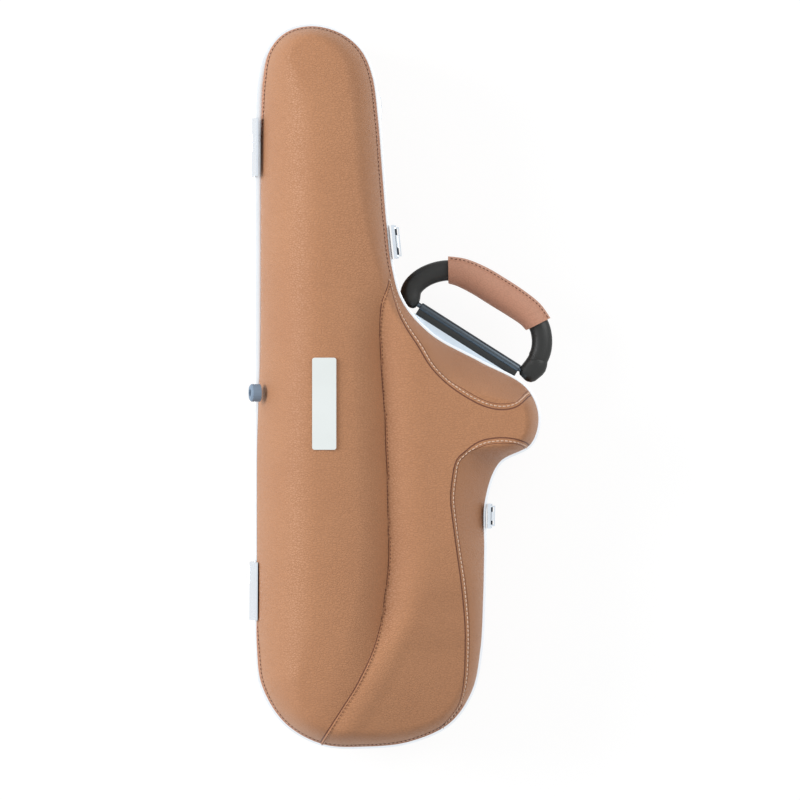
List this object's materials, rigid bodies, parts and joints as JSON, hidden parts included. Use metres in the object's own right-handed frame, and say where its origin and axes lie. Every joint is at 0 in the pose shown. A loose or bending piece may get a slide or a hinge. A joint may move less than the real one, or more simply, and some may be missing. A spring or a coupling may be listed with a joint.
{
  "type": "alto saxophone case",
  "caption": "Leather-covered hard case shaped round an alto saxophone, with a hinged lid, two draw latches, a folding handle, strap rings and a foam cradle.",
  "frame": {"origin": "the flat back of the case, below the middle of its length and width", "axes": "+X from the hinged spine towards the bell side, +Y towards the neck end, +Z from the back up to the lid"},
  "size_m": [0.2738, 0.6514, 0.1754],
  "materials": {
    "leather": "fine-grained tan leather",
    "shell": "moulded hard shell",
    "plush": "short-pile plush over foam",
    "belt": "satin",
    "fittings": "bright plated",
    "nameplate": "fine satin, bare",
    "handle_plastic": "moulded black",
    "gunmetal": "dark plated",
    "foot_rubber": "moulded grey",
    "seal": "black"
  },
  "bodies": {
    "base": {"base_cover_back": "leather", "base_cover_spine_side": "leather", "base_cover_bell_side": "leather", "base_shell": "shell", "instrument_cradle": "plush", "base_belt": "belt", "rim_seal": "seal", "hinge_upper_base_leaf": "fittings", "hinge_upper_pin": "fittings", "hinge_lower_base_leaf": "fittings", "hinge_lower_pin": "fittings", "base_foot": "foot_rubber", "base_foot_screw": "gunmetal", "latch_upper_base_plate": "fittings", "latch_upper_lever_pin": "gunmetal", "latch_lower_base_plate": "fittings", "latch_lower_lever_pin": "gunmetal", "handle_barrel": "gunmetal", "handle_saddle": "belt", "strap_left_bracket": "fittings", "strap_right_bracket": "fittings"},
    "lid": {"lid_cover_body": "leather", "lid_cover_handle_side": "leather", "lid_cover_side": "leather", "lid_cover_bell": "leather", "lid_shell": "shell", "lid_lining": "plush", "lid_belt": "belt", "nameplate": "nameplate", "hinge_upper_lid_leaf": "fittings", "hinge_lower_lid_leaf": "fittings", "lid_foot": "foot_rubber", "lid_foot_screw": "gunmetal", "latch_upper_catch": "fittings", "latch_lower_catch": "fittings"},
    "handle": {"handle_axle": "gunmetal", "handle_loop": "handle_plastic", "handle_left_end": "handle_plastic", "handle_right_end": "handle_plastic", "handle_grip": "leather"},
    "latch_upper_lever": {"latch_upper_lever": "fittings", "latch_upper_claw_pin": "gunmetal"},
    "latch_upper_claw": {"latch_upper_claw": "fittings"},
    "latch_lower_lever": {"latch_lower_lever": "fittings", "latch_lower_claw_pin": "gunmetal"},
    "latch_lower_claw": {"latch_lower_claw": "fittings"},
    "strap_left_ring": {"strap_left_ring": "fittings"},
    "strap_right_ring": {"strap_right_ring": "fittings"}
  },
  "joints": [
    {"name": "lid_hinge", "type": "hinge", "parent": "base", "child": "lid", "pos_m": [-0.1311, 0.2148, 0.08815], "axis": [-0.0058, -1, 0], "range_deg": [0, 100]},
    {"name": "handle_fold", "type": "hinge", "parent": "base", "child": "handle", "pos_m": [0.06549, 0.04415, 0.06], "axis": [0.8436, -0.537, 0], "range_deg": [-70, 75]},
    {"name": "latch_upper_throw", "type": "hinge", "parent": "base", "child": "latch_upper_lever", "pos_m": [-0.00159, 0.13025, 0.074], "axis": [0.1003, -0.995, 0], "range_deg": [0, 100]},
    {"name": "latch_upper_claw_swing", "type": "hinge", "parent": "latch_upper_lever", "child": "latch_upper_claw", "pos_m": [-0.00029, 0.13038, 0.066], "axis": [0.1003, -0.995, 0], "range_deg": [-120, 0]},
    {"name": "latch_lower_throw", "type": "hinge", "parent": "base", "child": "latch_lower_lever", "pos_m": [0.08384, -0.11668, 0.074], "axis": [-0.0158, -0.9999, 0], "range_deg": [0, 100]},
    {"name": "latch_lower_claw_swing", "type": "hinge", "parent": "latch_lower_lever", "child": "latch_lower_claw", "pos_m": [0.08514, -0.11671, 0.066], "axis": [-0.0158, -0.9999, 0], "range_deg": [-120, 0]},
    {"name": "strap_left_ring_swing", "type": "hinge", "parent": "base", "child": "strap_left_ring", "pos_m": [-0.12601, 0.25896, 0.036], "axis": [0.0293, 0.9996, 0], "range_deg": [0, 150]},
    {"name": "strap_right_ring_swing", "type": "hinge", "parent": "base", "child": "strap_right_ring", "pos_m": [-0.01717, 0.2551, 0.036], "axis": [0.1003, -0.995, 0], "range_deg": [0, 150]}
  ],
  "couplings": [
    {"joint": "latch_upper_claw_swing", "follows": "latch_upper_throw", "ratio": -1.2},
    {"joint": "latch_lower_claw_swing", "follows": "latch_lower_throw", "ratio": -1.2}
  ]
}
